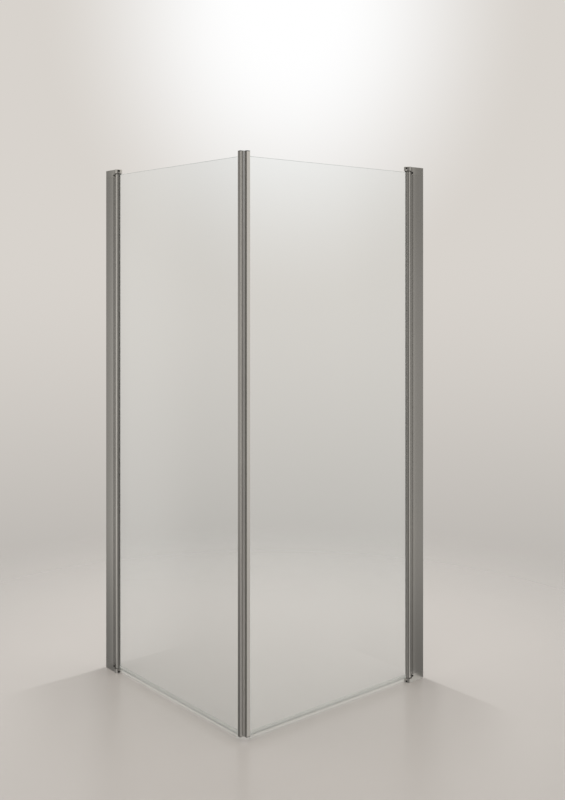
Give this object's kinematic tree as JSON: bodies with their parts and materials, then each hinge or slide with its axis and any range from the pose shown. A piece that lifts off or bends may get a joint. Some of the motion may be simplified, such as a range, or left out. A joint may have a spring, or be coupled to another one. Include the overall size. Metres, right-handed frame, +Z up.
{
  "type": "shower screen",
  "caption": "Square corner shower screen: clear glass doors hinged on aluminium wall posts, closing on magnet strips at a right angle.",
  "frame": {"origin": "middle of the square footprint, on the floor", "axes": "+Z up; +Y towards the back wall, which carries the left door; +X towards the side wall, which carries the right door"},
  "size_m": [0.9, 0.9, 2],
  "materials": {
    "anodised_aluminium": "satin anodised, warm mid grey",
    "bracket_metal": "satin coated die casting, matched to the anodised profiles",
    "stainless_steel": "machined stainless steel",
    "black_screw": "blackened steel",
    "dark_plastic": "moulded, fine matt grain",
    "grey_gasket": "extruded, matt",
    "magnet_vinyl": "extruded soft vinyl, satin",
    "magnet_bar": "bonded ferrite, matt",
    "clear_glass": "clear tempered, polished edges",
    "clear_vinyl": "clear extruded vinyl"
  },
  "bodies": {
    "wall_posts": {"left_adjusting_profile": "anodised_aluminium", "left_adjusting_screws": "stainless_steel", "left_bottom_hinge_bracket": "bracket_metal", "left_bottom_pivot_pin": "stainless_steel", "left_bracket_screws": "black_screw", "left_pin_lock_screws": "black_screw", "left_post_seal": "grey_gasket", "left_top_hinge_bracket": "bracket_metal", "left_top_pivot_pin": "stainless_steel", "left_wall_profile": "anodised_aluminium", "right_adjusting_profile": "anodised_aluminium", "right_adjusting_screws": "stainless_steel", "right_bottom_hinge_bracket": "bracket_metal", "right_bottom_pivot_pin": "stainless_steel", "right_bracket_screws": "black_screw", "right_pin_lock_screws": "black_screw", "right_post_seal": "grey_gasket", "right_top_hinge_bracket": "bracket_metal", "right_top_pivot_pin": "stainless_steel", "right_wall_profile": "anodised_aluminium"},
    "left_door": {"left_bottom_bush": "dark_plastic", "left_bottom_end_cap": "dark_plastic", "left_closing_gasket": "grey_gasket", "left_closing_profile": "anodised_aluminium", "left_drip_seal": "clear_vinyl", "left_glass": "clear_glass", "left_hinge_gasket": "grey_gasket", "left_hinge_tube": "anodised_aluminium", "left_magnet_core": "magnet_bar", "left_magnet_strip": "magnet_vinyl", "left_top_bush": "dark_plastic", "left_top_end_cap": "dark_plastic"},
    "right_door": {"right_bottom_bush": "dark_plastic", "right_bottom_end_cap": "dark_plastic", "right_closing_gasket": "grey_gasket", "right_closing_profile": "anodised_aluminium", "right_drip_seal": "clear_vinyl", "right_glass": "clear_glass", "right_hinge_gasket": "grey_gasket", "right_hinge_tube": "anodised_aluminium", "right_magnet_core": "magnet_bar", "right_magnet_strip": "magnet_vinyl", "right_top_bush": "dark_plastic", "right_top_end_cap": "dark_plastic"}
  },
  "joints": [
    {"name": "left_door_hinge", "type": "hinge", "parent": "wall_posts", "child": "left_door", "pos_m": [-0.4345, 0.375, 1], "axis": [0, 0, 1], "range_deg": [-90, 90]},
    {"name": "right_door_hinge", "type": "hinge", "parent": "wall_posts", "child": "right_door", "pos_m": [0.375, -0.4345, 1], "axis": [0, 0, -1], "range_deg": [-90, 90]}
  ]
}
